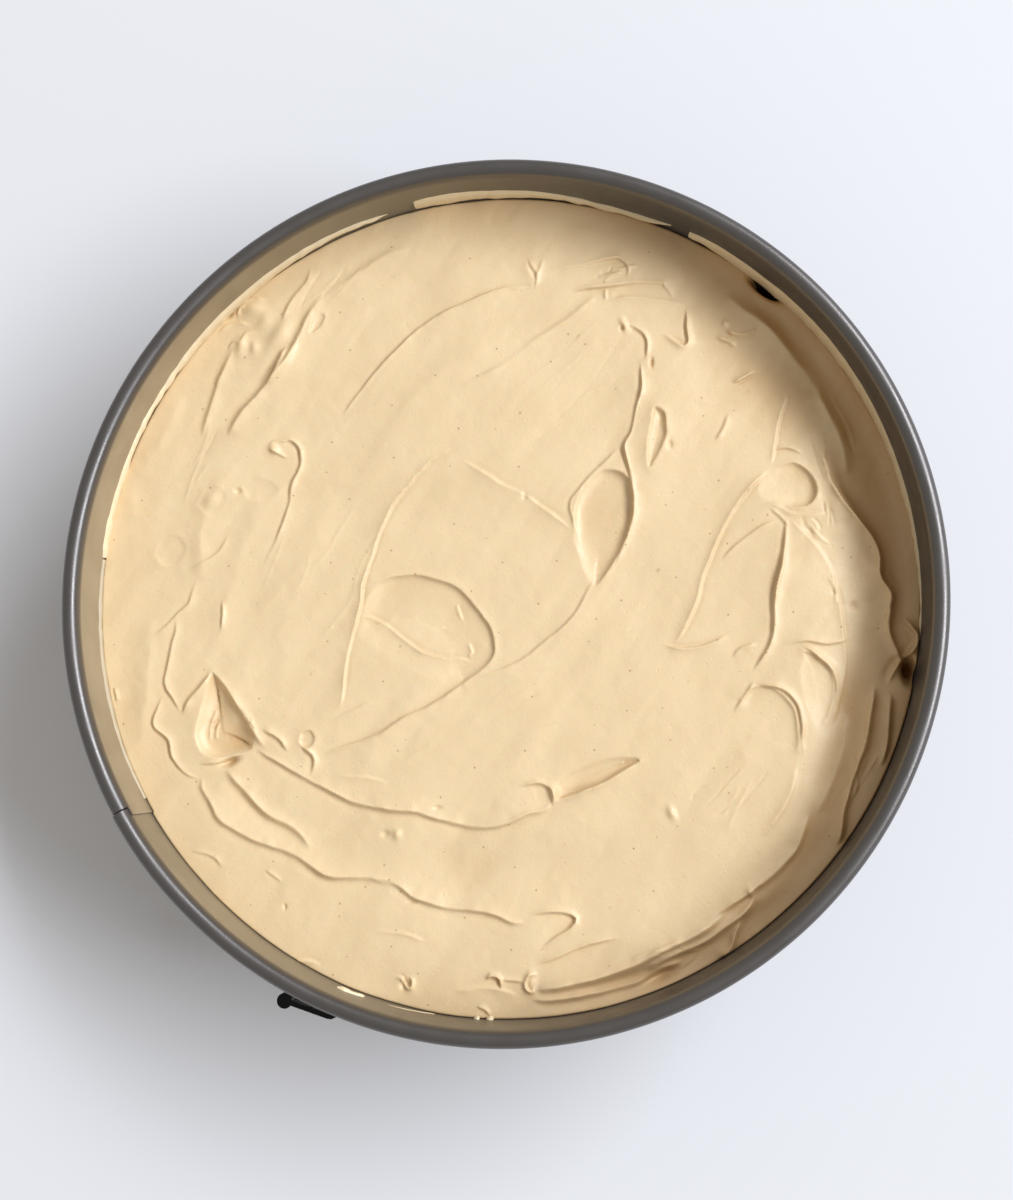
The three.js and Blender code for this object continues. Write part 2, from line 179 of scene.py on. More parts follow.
# Lips that the spatula pushed up. Each drops steeply on the left of its run.
# Rows: height at the tallest, width of the steep side, width of the gentle side, points.
spatulaLips = [
    (1.3, 0.9, 7.0, [(-46, 52), (-40, 60.5), (-34, 67.5), (-28, 73), (-20, 80), (-9, 85), (0, 88.5),
        (9, 89)]),
    (1.4, 0.9, 2.5, [(9.5, 88), (10.5, 92.5), (8, 98)]),
    (0.8, 0.8, 1.5, [(10, 91), (12, 97.5)]),
    (1.5, 0.9, 4.0, [(35.5, 90), (36, 94), (34, 96.5), (31, 97), (20, 95), (11.5, 93.5)]),
    (1.6, 0.9, 3.5, [(49, 83.5), (48, 85.5), (46, 88.5), (44.5, 89.5), (33.5, 89), (24, 88),
        (19.5, 86.5)]),
    (1.0, 0.8, 1.2, [(30, 88), (30, 84.5)]),
    (1.4, 0.9, 3.0, [(30, 84.5), (36.5, 85), (44.5, 84), (52.5, 83)]),
    (1.2, 0.9, 2.5, [(44.5, 74.5), (47, 73.5), (49.5, 72), (51.5, 71), (53, 72.5), (53, 75.5),
        (53, 79.5), (52.5, 83)]),
    (1.5, 0.9, 4.0, [(32, 9), (35.5, 18), (37.5, 26.5), (37, 32.5), (35.5, 39), (35, 43.5), (37, 47),
        (38.5, 52.5), (40, 59), (39.5, 67)]),
    (1.0, 0.9, 1.8, [(40.5, 67), (41.5, 70.5), (40.5, 74.5), (36.5, 77.5), (34.5, 76.5)]),
    (0.6, 0.9, 3.0, [(22.5, 13.5), (20.5, 21.5), (19.5, 27), (22.5, 31.5), (28.5, 38), (33.5, 43)]),
    (1.1, 0.7, 3.5, [(-13.5, 43.5), (-19.5, 40), (-24, 35.5), (-29.5, 29), (-34, 21), (-36.5, 13),
        (-38.5, 6.5), (-40, 0), (-41.5, -7), (-44, -18), (-45.5, -31.5)]),
    (0.7, 1.0, 4.0, [(-12, 40), (-3, 34.5), (5, 29.5), (13, 25), (20, 19)]),
    (0.6, 0.8, 1.0, [(-12.5, -0.5), (-11.5, -4), (-10.5, -6)]),
    (0.6, 0.8, 1.0, [(-9, -11.5), (-8, -15), (-9.5, -16.5)]),
    (0.8, 0.8, 2.6, [(-40.5, -4.5), (-37, -5), (-32.5, -7), (-27, -11), (-21.5, -15), (-16, -16.5),
        (-10, -17), (-8, -19)]),
    (1.5, 1.1, 8.0, [(-50, -43), (-42, -40.5), (-35, -38), (-28, -34), (-20, -30), (-13, -25.5),
        (-7, -21.5)]),
    (0.8, 0.9, 6.0, [(-7, -21.5), (0, -19.5), (7, -16), (13, -11.5), (19, -6.5), (23, 0), (27, 6)]),
    (0.6, 0.8, 1.5, [(-48, -33.5), (-42, -31.5), (-35, -27.5)]),
    (1.9, 1.5, 8.0, [(14.5, -55), (12, -58), (8, -59), (3, -61.5), (-2.5, -63), (-7.5, -62.5),
        (-14.5, -61), (-22, -59), (-30, -58.5), (-38, -57), (-45, -54.5), (-52, -51), (-60, -46.5),
        (-69, -41)]),
    (1.3, 0.9, 1.8, [(14, -58), (14.5, -54.5), (14, -52.5), (12.5, -51.5), (10, -51), (5, -52.5)]),
    (1.6, 0.9, 3.0, [(15, -55.5), (20.5, -54), (26.5, -52), (33, -48), (38.5, -45)]),
    (2.0, 2.4, 6.0, [(-53, -70), (-55, -66.5), (-59, -63), (-64, -60), (-70, -55.5), (-74, -51.5),
        (-78, -47)]),
    (1.7, 1.8, 5.5, [(-30, -79.5), (-36, -77.5), (-43, -77.5), (-49, -76.5), (-54, -73), (-58, -70.5),
        (-65, -68), (-72, -65.5), (-79, -61.5), (-81.5, -57), (-84.5, -52.5), (-84, -49)]),
    (1.9, 1.6, 7.0, [(7, -89), (3, -89), (-1.5, -87), (-8.5, -85.5), (-16, -85), (-23, -82.5),
        (-28, -79), (-33.5, -77.5), (-37, -77.5)]),
    (1.4, 0.9, 2.5, [(10.5, -96.5), (14.5, -93.5), (19, -90.5), (20.5, -87.5), (17.5, -86), (13, -86),
        (8, -87)]),
    (2.0, 1.8, 4.0, [(-66, -41), (-70, -36.5), (-73, -31.5), (-76, -27), (-79, -22.5), (-82, -19)]),
    (1.8, 1.2, 2.6, [(-90.5, -32.5), (-88, -28), (-85, -24), (-82, -19.5)]),
    (1.0, 0.9, 1.6, [(-72.5, -42.5), (-76, -43.5), (-80, -45.5), (-86, -46)]),
    (1.3, 1.0, 2.5, [(-60, -42.5), (-61.5, -39.5), (-64, -37.5), (-68, -36)]),
    (1.5, 1.0, 2.0, [(-53.5, -49.5), (-52.5, -46), (-53, -43), (-57, -40)]),
    (1.3, 1.0, 3.0, [(-90.5, -31.5), (-93, -27), (-95.5, -23), (-94.5, -17), (-94, -12), (-93, -8),
        (-93, -4)]),
    (0.9, 0.9, 2.5, [(-100, -10), (-96, -7), (-92, -3), (-89.5, -1), (-88, 3), (-86.5, 7)]),
    (1.1, 0.9, 3.0, [(-85, -50.5), (-89.5, -48.5), (-93, -43.5), (-94, -39), (-98.5, -35),
        (-97.5, -30), (-96, -26)]),
    (0.9, 0.9, 3.5, [(-68, 10), (-65, 16), (-62.5, 21), (-60.5, 27), (-59.5, 33), (-57.5, 38.5)]),
    (1.3, 0.9, 2.0, [(-60.5, 28), (-60, 33), (-57.5, 38.5), (-57.5, 43.5), (-60, 46.5), (-64, 46)]),
    (0.8, 0.8, 1.2, [(-61, 41), (-64, 42.5), (-67, 44)]),
    (0.6, 0.9, 3.0, [(-90, 9.5), (-84, 12), (-80, 15.5), (-78, 20)]),
    (0.8, 0.8, 1.2, [(-79.5, -9), (-79, -4), (-79.5, 1)]),
    (2.2, 2.2, 4.5, [(-79, 47), (-74, 54.5), (-69, 60.5), (-63.5, 66.5), (-60, 72.5), (-56, 81),
        (-51, 89)]),
    (2.0, 1.9, 2.0, [(-67.5, 62), (-65, 66), (-63, 71), (-61.5, 74)]),
    (1.3, 1.4, 3.0, [(-64, 80), (-60, 87), (-56, 92.5), (-55, 97)]),
    (1.3, 1.8, 4.0, [(-86.5, 47), (-83.5, 57), (-80.5, 66), (-77, 75)]),
    (0.8, 2.2, 6.0, [(-50, 88), (-42, 93.5), (-34, 98.5), (-26, 102)]),
    (0.9, 0.8, 1.8, [(59.5, 43.5), (62, 47.5), (64, 52)]),
    (1.1, 0.8, 1.5, [(66, 70.5), (63.5, 72.5), (60, 73.5)]),
    (1.2, 0.8, 1.5, [(72.5, 76), (69, 74), (65, 74.5), (62.5, 76.5)]),
    (1.1, 0.8, 1.5, [(71.5, 64), (68, 62), (64.5, 60.5)]),
    (0.8, 0.8, 3.0, [(78.5, 58.5), (79.5, 55), (77.5, 49.5), (76, 42.5), (74.5, 36)]),
    (0.7, 0.8, 1.5, [(84, 40), (79, 42), (75.5, 41)]),
    (1.1, 0.9, 3.0, [(75, 36), (70, 31.5), (65.5, 25.5), (62, 19.5), (59, 13), (56.5, 6.5), (54, -0.5),
        (51, -7.5), (47, -13)]),
    (1.7, 1.0, 3.0, [(69.5, -20.5), (74, -14), (75.5, -8), (76, -2), (76.5, 4), (78, 10), (79, 17),
        (79.5, 22.5)]),
    (1.0, 0.9, 2.5, [(61, 9.5), (66, 14.5), (72, 19), (78, 21.5)]),
    (0.9, 0.9, 1.2, [(80, 19.5), (77.5, 22.5), (74.5, 25)]),
    (0.7, 0.9, 3.5, [(79.5, 22), (82.5, 18.5), (87, 13.5), (90.5, 8), (92.5, 1), (93.5, -7), (94, -16),
        (93, -26), (91, -35)]),
    (0.8, 0.9, 2.0, [(71, 25), (76, 25.5), (80.5, 23), (86, 22.5), (91, 23.5)]),
    (4.6, 2.6, 14.0, [(88, 42), (90, 36), (91.5, 31.5), (94, 27.5), (97.5, 22.5), (101, 17),
        (103.5, 11), (104, 5.5), (106.5, 0.5), (106, -4), (106, -9.5), (107.5, -14.5), (109.5, -19)]),
    (1.0, 0.9, 1.4, [(91.5, 31), (94, 27), (98, 22), (101, 17), (103.5, 11), (104.5, 5.5), (107, 0.5),
        (106.5, -4), (106.5, -9.5), (108, -14.5), (110, -20)]),
    (2.4, 3.8, 9.0, [(62, 86), (68, 81), (75, 75), (82, 66), (88, 57), (92, 49), (95, 41), (96, 33)]),
    (2.2, 1.4, 1.4, [(105.5, -25), (108, -19.5), (111, -16.5), (113.5, -14), (114, -11), (112, -8),
        (109.5, -5.5)]),
    (0.7, 1.7, 3.0, [(-12, 60), (0, 66), (10, 73.5), (20, 80), (28.5, 86.5)]),
    (0.8, 1.4, 2.0, [(7, 97.5), (8.5, 94), (9.5, 91), (8.5, 88)]),
    (0.9, 7.2, 4.5, [(-103, -46), (-102, -36), (-101, -25), (-100.5, -14), (-99.5, -4)]),
    (0.8, 7.2, 4.5, [(-107, 22), (-105.5, 32), (-101.5, 42), (-96, 52), (-92, 60)]),
    (0.7, 6.0, 4.5, [(-84, 2), (-86, 12), (-86, 22), (-81.5, 32), (-76, 40)]),
    (0.5, 6.0, 5.0, [(-80, -14), (-78, 2), (-74, 14), (-70, 26), (-69.5, 33)]),
    (0.5, 8.4, 8.0, [(-62, -28), (-61, -8), (-55, 12), (-50, 26), (-46, 38)]),
    (0.5, 7.2, 7.0, [(-36, 40), (-29, 52), (-20, 62), (-8, 70), (4, 77)]),
    (0.8, 0.9, 1.4, [(-82.5, 78), (-79.5, 80.5), (-76, 81), (-72.5, 79.5)]),
    (1.1, 1.0, 1.5, [(-79.5, 72), (-77.5, 75.5), (-75.5, 75), (-74, 77.5), (-70.5, 78)]),
    (0.9, 1.0, 1.8, [(-76, 86.5), (-72, 88), (-68, 87.5)]),
    (0.9, 0.9, 1.2, [(-76.5, 82.5), (-75.5, 85.5), (-73.5, 86)]),
    (0.7, 0.8, 1.0, [(-67, 44.5), (-64, 46), (-60.5, 46)]),
    (0.8, 0.9, 1.3, [(63, -17), (66, -14.5), (71, -13)]),
    (0.8, 1.7, 2.5, [(80.5, -45), (79.5, -52), (76, -59), (70, -66)]),
    (0.6, 0.8, 1.5, [(83.5, -33), (82.5, -39), (83, -44)]),
    (1.2, 2.9, 5.0, [(94.5, -31), (93.5, -42), (89.5, -52), (85, -60)]),
    (0.5, 0.9, 1.4, [(-36, -92), (-28, -92.5), (-20, -95)]),
    (0.6, 0.9, 1.6, [(-61, -101), (-55, -100), (-50, -101.5)]),
    (0.6, 1.4, 2.5, [(-14, -108), (-4, -107), (6, -109)]),
    (0.5, 1.0, 2.0, [(-47, -49), (-39, -49.5), (-31, -51.5)]),
    (1.2, 0.9, 3.0, [(44, -12.5), (49, -14), (56, -13.5), (63, -11)]),
    (0.9, 0.9, 2.0, [(96, -12), (90, -13), (84, -12), (77, -13.5)]),
    (1.2, 0.9, 2.0, [(91, -31), (92, -25), (90.5, -20), (87, -16), (82.5, -13)]),
    (1.2, 0.9, 2.2, [(82, -41), (82.5, -35), (81, -29), (77, -25), (69.5, -23.5)]),
    (0.8, 0.9, 2.0, [(64, -32), (67, -28), (70, -22.5)]),
    (2.6, 1.9, 2.0, [(102.5, -24), (100.5, -36), (97, -47), (93.5, -59), (90.5, -68)]),
    (1.8, 1.7, 1.8, [(106.5, -26), (105.5, -38), (103, -47)]),
    (1.6, 1.7, 4.0, [(84, -58), (80.5, -68), (75, -75), (69, -79.5), (62, -84), (55, -88.5)]),
    (3.2, 2.9, 4.0, [(62, -85.5), (56, -89.5), (49, -93.5), (42, -97), (34, -101), (26, -104),
        (17, -106), (9, -107)]),
    (2.2, 1.9, 2.5, [(70, -81), (66, -86), (60, -90.5), (53, -94.5), (46, -97.5), (38, -101.5)]),
    (2.0, 1.8, 2.0, [(66, -87), (64, -91), (62.5, -95), (58, -98)]),
    (1.8, 1.9, 2.5, [(50, -99), (44, -101), (38, -104.5), (30, -107), (20, -109), (8, -110)]),
    (1.1, 0.9, 2.5, [(33.5, -93), (24, -94.5), (16.5, -97.5), (9, -100.5)]),
    (1.6, 1.0, 1.4, [(0, -107.5), (0, -104.5), (-2.5, -103.5), (-4.5, -105)]),
    (0.8, 0.9, 1.5, [(7, -104.5), (0, -104.5)]),
    (1.5, 0.9, 1.3, [(10.5, -103), (8, -103), (7, -105), (7.5, -107), (9, -107.5), (9.5, -105.5)]),
    (1.6, 0.9, 1.2, [(-29.5, -104), (-27.5, -104.5), (-26.5, -106.5), (-25, -107), (-24.5, -105),
        (-26, -103.5)]),
    (0.9, 0.9, 1.6, [(-3, -115), (-4.5, -113), (-7, -112)]),
    (0.7, 0.9, 2.0, [(-78.5, -75), (-80, -72), (-83.5, -70.5), (-88, -70)]),
    (0.7, 0.9, 1.6, [(-61, -78.5), (-64, -76.5), (-66, -75)]),
    (0.9, 0.9, 1.6, [(-109.5, -29), (-110, -26.5), (-111, -24.5)]),
]

# Scoops: places the spatula cut into. Rows: depth, height of the rim outside, outline as
# (x, y, width of the slope inside there); a narrow slope is a crisp rim.
scoops = [
    (3.6, 0.4, [(-82, -19.5, 1.4), (-80, -22, 2.2), (-76.5, -27, 4.4), (-73, -33, 5.0),
        (-70, -38, 4.0), (-70.5, -41.5, 2.0), (-75, -43, 1.6), (-80, -44.5, 1.4), (-84.5, -43, 1.6),
        (-86.5, -38, 2.0), (-85.5, -32, 2.2), (-84, -25.5, 1.6)]),
    (1.1, 0.3, [(15, -55.5, 0.7), (20, -54.5, 0.6), (26, -52, 0.6), (32, -49, 0.6), (38.5, -44.5, 0.7),
        (34, -43.5, 1.4), (28, -44.5, 2.0), (21, -47.5, 2.4), (15.5, -51, 1.2)]),
    (0.6, 0.3, [(-56.5, -37, 0.8), (-54, -36, 0.7), (-52.5, -38, 0.7), (-53, -40.5, 0.8),
        (-55, -41.5, 0.8), (-57, -39.5, 0.8)]),
    (0.35, 0.12, [(-88, 28, 1.2), (-86, 32, 1.2), (-82, 33.5, 1.4), (-79, 31, 1.6), (-80, 27, 1.6),
        (-84, 24.5, 1.4)]),
    (0.4, 0.15, [(-74.5, 33, 1.0), (-71, 35.5, 1.4), (-66, 34.5, 1.6), (-63.5, 31.5, 1.4),
        (-67, 29, 1.8), (-72, 29.5, 1.4)]),
    (0.35, 0.1, [(-100, 14, 1.2), (-98, 18.5, 1.4), (-93.5, 19.5, 1.4), (-91, 15.5, 1.3),
        (-93.5, 11, 1.2), (-97.5, 10.5, 1.2)]),
    (0.5, 0.25, [(-50.5, 82.5, 0.6), (-51.5, 79.5, 0.6), (-55, 77, 0.6), (-54.5, 80.5, 0.6),
        (-52, 83, 0.6)]),
    (0.6, 0.35, [(66.5, -28, 1.0), (69, -25, 0.9), (73, -24.5, 0.9), (77, -26.5, 0.9),
        (80, -30.5, 0.9), (81, -36, 0.9), (80.5, -42, 1.4), (75, -47, 7.0), (67, -44, 8.0),
        (64.5, -34, 5.0)]),
    (0.6, 0.35, [(83.5, -15, 1.0), (87, -16.5, 0.8), (90, -20, 0.8), (91, -25, 0.8), (90, -31.5, 1.0),
        (87, -35, 2.4), (83.5, -29, 5.0), (82.5, -21, 4.0)]),
    (1.5, 0.5, [(31.5, 36.5, 1.1), (34.5, 35, 0.9), (37, 31.5, 0.9), (37.5, 27, 0.9),
        (36.5, 20.5, 0.9), (33, 13, 0.9), (29.5, 7, 1.0), (26.5, 3.5, 2.0), (24, 6.5, 3.0),
        (22, 12, 2.2), (20.5, 18, 1.8), (20.5, 24, 1.5), (22, 29.5, 1.5), (25, 33.5, 1.6),
        (28.5, 36.5, 1.6)]),
    (1.3, 0.4, [(44, 53.5, 0.9), (46, 52, 0.8), (46.5, 49, 0.8), (46.5, 45.5, 0.8), (45, 42, 0.9),
        (43, 38.5, 1.6), (41.5, 36, 3.0), (41, 40, 3.0), (41.5, 45, 2.5), (42.5, 50, 1.8),
        (43, 53, 1.2)]),
    (1.2, 0.4, [(-10, -23.5, 1.4), (-6, -20.5, 1.0), (-2.5, -16, 0.8), (-2, -12.5, 0.8),
        (-3.5, -7, 0.8), (-8, -0.5, 0.8), (-13.5, 4.5, 0.8), (-21.5, 7, 0.8), (-28, 7, 0.9),
        (-32.5, 6, 1.1), (-37, 2, 1.6), (-40.5, -3.5, 3.0), (-41, -9, 5.0), (-34, -15, 6.0),
        (-24, -20.5, 6.0), (-15, -24, 4.0)]),
    (1.3, 0.5, [(81, 24.5, 1.2), (85, 25, 0.9), (87.5, 28, 0.8), (87, 32, 0.8), (84.5, 35.5, 0.9),
        (81, 37.5, 1.1), (77, 36.5, 1.8), (73, 33.5, 3.0), (71.5, 29, 4.0), (75, 26, 3.0)]),
]

# Soft knobs and dimples: x, y, height, half width across, half width along, turn in degrees.
knobs = [
    (14.5, -53.5, 0.9, 1.3, 2.0, 20), (8.5, -105, 0.7, 1.6, 2.4, 0), (34.5, 77.5, 0.8, 1.0, 1.8, 20),
    (34, 76.5, -0.9, 0.6, 0.8, 0), (-29, -65.5, 0.8, 1.0, 1.4, 10), (-32, -65, -0.7, 1.0, 0.9, 0),
    (47, -59.5, 0.8, 1.1, 1.8, 30), (-72, 85, 1.4, 3.4, 2.0, 10), (-68.5, 81, 0.8, 3.0, 2.0, 60),
    (-79, 83.5, -0.8, 1.4, 0.8, 40), (-75.5, 74, 1.0, 1.6, 2.6, -20), (-71.5, 73.5, 0.8, 1.4, 1.8, 0),
    (-64.5, 77, 1.0, 2.6, 6.0, -30), (-65, 43.5, 0.9, 1.3, 1.8, 40), (-83.5, 29.5, 0.7, 2.6, 2.2, 0),
    (-75.5, 32, -0.6, 0.9, 0.7, 0), (63, 77.5, 0.8, 0.8, 0.9, 0), (43.5, -103, -2.4, 1.4, 4.2, -64),
    (-77, -45, -2.2, 1.2, 2.6, -65), (-27, -106, -1.2, 0.9, 1.2, 0), (42.5, 66.5, -0.8, 0.5, 1.4, 0),
    (47.5, 43, -0.6, 0.6, 1.0, 0), (-17.5, -57, -0.5, 1.2, 0.6, 0), (97, -2.5, -0.6, 1.0, 1.2, 0),
    (-24, -83.5, -0.5, 1.2, 0.6, 0), (74.5, 87, -16.0, 1.3, 3.4, 49.5),
    (111.5, -20.5, -13.0, 1.5, 2.8, 10), (-60.5, -85.5, -0.6, 0.5, 0.7, 0),
    (6.5, 28.5, -0.5, 0.7, 0.8, 0), (68.5, -80.5, 0.8, 1.0, 1.6, 30),
]

# Broad swells and hollows: x, y, height, reach across, reach along, turn in degrees.
swells = [
    (82, 62, -2.2, 22, 40, 40), (104, 12, -2.4, 12, 40, 0), (84, -6, 1.6, 16, 34, 0),
    (30, 55, -0.9, 14, 22, 10), (42, 46, 1.0, 9, 22, -8), (-8, 62, 0.6, 30, 22, 20),
    (-62, 70, 0.9, 16, 30, -30), (-84, -30, 1.0, 20, 26, 10), (-30, -20, 0.5, 26, 20, 0),
    (10, -40, 0.6, 34, 14, 10), (-10, -72, -0.8, 40, 8, -4), (60, -60, 0.5, 26, 20, 40),
    (95, -30, -2.0, 5.5, 13, -12), (91, -50, -2.1, 6.5, 14, -22), (83, -70, -2.2, 6, 13, -36),
    (70, -88, -2.3, 5, 14, -52), (53, -99.5, -2.2, 4.5, 13, -64), (35, -105.5, -1.9, 4, 12, -74),
    (-76, -34, -1.2, 5, 12, 25), (-65, -60, -0.9, 5, 16, 60), (20, 104, -1.0, 34, 12, 0),
]


# Fine scratches from the edge of the spatula: x, y, length, spread, turn in degrees, how many, height.
scratches = [
    (87, 17, 9, 3.0, -60, 6, 0.2), (92.5, 2, 10, 2.0, -78, 5, 0.22), (91, 25, 7, 3.0, -80, 4, 0.2),
    (-81.5, -35, 10, 2.2, 78, 4, 0.35), (-72, -33, 10, 2.0, -60, 4, 0.3),
    (64, -57, 16, 8.0, 50, 7, 0.16), (-54, 92, 16, 8.0, 52, 4, 0.14), (-50, 6, 24, 16.0, 68, 6, 0.1),
    (20, 60, 40, 24.0, 40, 6, 0.08), (0, -40, 50, 20.0, 24, 6, 0.08), (-90, 40, 18, 8.0, 66, 4, 0.15),
    (30, 92, 10, 4.0, 12, 5, 0.3), (45, -98, 16, 4.0, 24, 7, 0.3), (97, -50, 14, 3.0, 72, 6, 0.3),
    (90, 44, 16, 8.0, -66, 5, 0.2),
]


def addScratches(x, y):
    rng = np.random.default_rng(31)
    lift = np.zeros(x.shape)
    for cx, cy, length, spread, turn, count, height in scratches:
        for _ in range(count):
            a = math.radians(turn + rng.normal(0, 7))
            half = length * rng.uniform(0.2, 0.6)
            off = rng.normal(0, spread / 2)
            slide = rng.normal(0, length / 4)
            bow = rng.normal(0, 0.05 * length)
            dx, dy = math.cos(a), math.sin(a)
            mx, my = cx - off * dy + slide * dx, cy + off * dx + slide * dy
            u = (x - mx) * dx + (y - my) * dy
            near = np.abs(u) < half
            t = u[near] / half
            v = -(x[near] - mx) * dy + (y[near] - my) * dx - bow * (1 - t * t)
            groove = smoothStep(2 * (1 - np.abs(t))) * np.exp(-(v / filling["scratchWidth"]) ** 2)
            lift[near] += rng.choice((-1, 1)) * height * groove
    return lift


def addLips(x, y, uneven):
    lift = np.zeros(x.shape)
    broadShare, thinShare = lipForm["broadShare"], 1 - lipForm["broadShare"]
    for height, narrow, broad, points in spatulaLips:
        p = np.array(points, float)
        reach = lipForm["spread"] * broad + 2
        near = (x > p[:, 0].min() - reach) & (x < p[:, 0].max() + reach)
        near &= (y > p[:, 1].min() - reach) & (y < p[:, 1].max() + reach)
        path = curveThrough([(*q, 0.0) for q in points], lipForm["step"])
        gap, side, share, _ = nearestOn(path, x[near], y[near])
        length = float(np.hypot(*np.diff(path[:, :2], axis=0).T).sum())
        ease = min(lipForm["longest"][0], lipForm["taper"] / length)
        slowEase = min(lipForm["longest"][1], (lipForm["taper"] + lipForm["slowTaper"] * broad) / length)
        taper = smoothStep(share / ease) * smoothStep((1 - share) / ease)
        slow = smoothStep(share / slowEase) * smoothStep((1 - share) / slowEase)
        ends = (share < 0.001) | (share > 0.999)
        thin = narrow * filling["lipWidth"] * (0.6 + 0.4 * taper)
        crest = broadShare * slow + thinShare * taper
        steep = np.exp(-(gap / thin) ** 1.8)
        steep -= lipForm["undercut"] * np.exp(-((gap - 2.2 * thin) / (1.5 * thin)) ** 2)
        gentle = broadShare * slow / (1 + (gap / (0.5 * broad)) ** 2) * smoothStep(1 - gap / reach)
        gentle += thinShare * taper * np.exp(-gap / (0.9 * thin))
        add = height * filling["lipHeight"] * uneven[near] * np.where(side > 0, crest * steep, gentle)
        lift[near] += np.where(ends, 0, add)
    return lift


def insideOf(path, x, y):  # by how often a line to one side crosses the outline
    inside = np.zeros(x.shape, bool)
    for a, b in zip(path[:-1], path[1:]):
        crosses = (a[1] > y) != (b[1] > y)
        at = (b[0] - a[0]) * (y - a[1]) / (b[1] - a[1] + 1e-12) + a[0]
        inside ^= crosses & (x < at)
    return inside


def addScoops(x, y):
    lift = np.zeros(x.shape)
    margin, steepness = scoopForm["margin"], scoopForm["steepness"]
    for depth, rim, outline in scoops:
        p = np.array(outline, float)
        near = (x > p[:, 0].min() - margin) & (x < p[:, 0].max() + margin)
        near &= (y > p[:, 1].min() - margin) & (y < p[:, 1].max() + margin)
        path = curveThrough(outline + outline[:1], scoopForm["step"])
        gap, _, _, width = nearestOn(path, x[near], y[near])
        inside = insideOf(path, x[near], y[near])
        width = np.minimum(width, 0.5 * gap[inside].max())
        crisp = np.clip((scoopForm["crispFrom"] - width) / scoopForm["crispOver"], 0, 1)
        down = -depth * filling["scoopDepth"] * (1 - np.exp(-(gap / width) ** steepness))
        outer = rim * crisp * np.exp(-(gap / scoopForm["rimOutside"]) ** 1.2)
        lift[near] += np.where(inside, down + outer * np.exp(-gap / scoopForm["rimInside"]), outer)
    return lift


def addMounds(x, y, mounds):
    lift = np.zeros(x.shape)
    for cx, cy, height, across, along, turn in mounds:
        a = math.radians(turn)
        u = (x - cx) * math.cos(a) + (y - cy) * math.sin(a)
        v = -(x - cx) * math.sin(a) + (y - cy) * math.cos(a)
        lift += height * np.exp(-(u / across) ** 2 - (v / along) ** 2)
    return lift


def softNoise(x, y, size, rng, half=130):  # smooth random hills about size mm apart, half mm each way
    count = int(2 * half / size) + 4
    table = rng.standard_normal((count, count))
    u, v = (x + half) / size, (y + half) / size
    i, j = np.floor(u).astype(int), np.floor(v).astype(int)
    s, t = smoothStep(u - i), smoothStep(v - j)
    i, j = np.clip(i, 0, count - 2), np.clip(j, 0, count - 2)
    low = table[i, j] * (1 - s) + table[i + 1, j] * s
    high = table[i, j + 1] * (1 - s) + table[i + 1, j + 1] * s
    return low * (1 - t) + high * t


wander = [(0.28, 8), (0.04, 2.2)]  # nothing runs quite true: how far it strays, over what distance
unevenness = [(0.26, 9), (0.08, 2.5)]  # how much a lip's height changes along it, over what distance
strokeDegrees = 52  # most strokes ran this way
ripples = [  # height, size, and how many times longer they are along the strokes
    (0.22, 17, None), (0.13, 5.5, 2.8), (0.030, 1.8, 4), (0.030, 2.4, None),
]


def cakeTop(x, y):
    rng = np.random.default_rng(filling["seed"])
    z = np.full(x.shape, filling["level"])
    bentX, bentY, uneven = x, y, 1
    for far, size in wander:
        bentX = bentX + far * softNoise(x, y, size, rng)
    for far, size in wander:
        bentY = bentY + far * softNoise(x, y, size, rng)
    for much, size in unevenness:
        uneven = uneven + much * softNoise(x, y, size, rng)
    z += addMounds(x, y, swells)
    z += addLips(bentX, bentY, np.clip(uneven, 0.4, 1.6))
    z += addScoops(bentX, bentY)
    z += addMounds(bentX, bentY, knobs)
    z += addScratches(bentX, bentY)
    a = np.radians(strokeDegrees)
    along, across = x * np.cos(a) + y * np.sin(a), -x * np.sin(a) + y * np.cos(a)
    for height, size, longer in ripples:
        u, v = (along / longer, across) if longer else (x, y)
        z += height * softNoise(u, v, size, rng)
    return z


def discGrid(cells):  # a square grid bent to a disc, even in size, its border on the circle
    s = np.linspace(-1, 1, cells + 1)
    u, v = np.meshgrid(s, s, indexing="ij")
    big = np.abs(u) > np.abs(v)
    with np.errstate(divide="ignore", invalid="ignore"):
        angle = np.where(big, math.pi / 4 * v / u, math.pi / 2 - math.pi / 4 * u / v)
    angle = np.nan_to_num(angle)
    radius = np.where(big, u, v)
    return radius * np.cos(angle), radius * np.sin(angle)


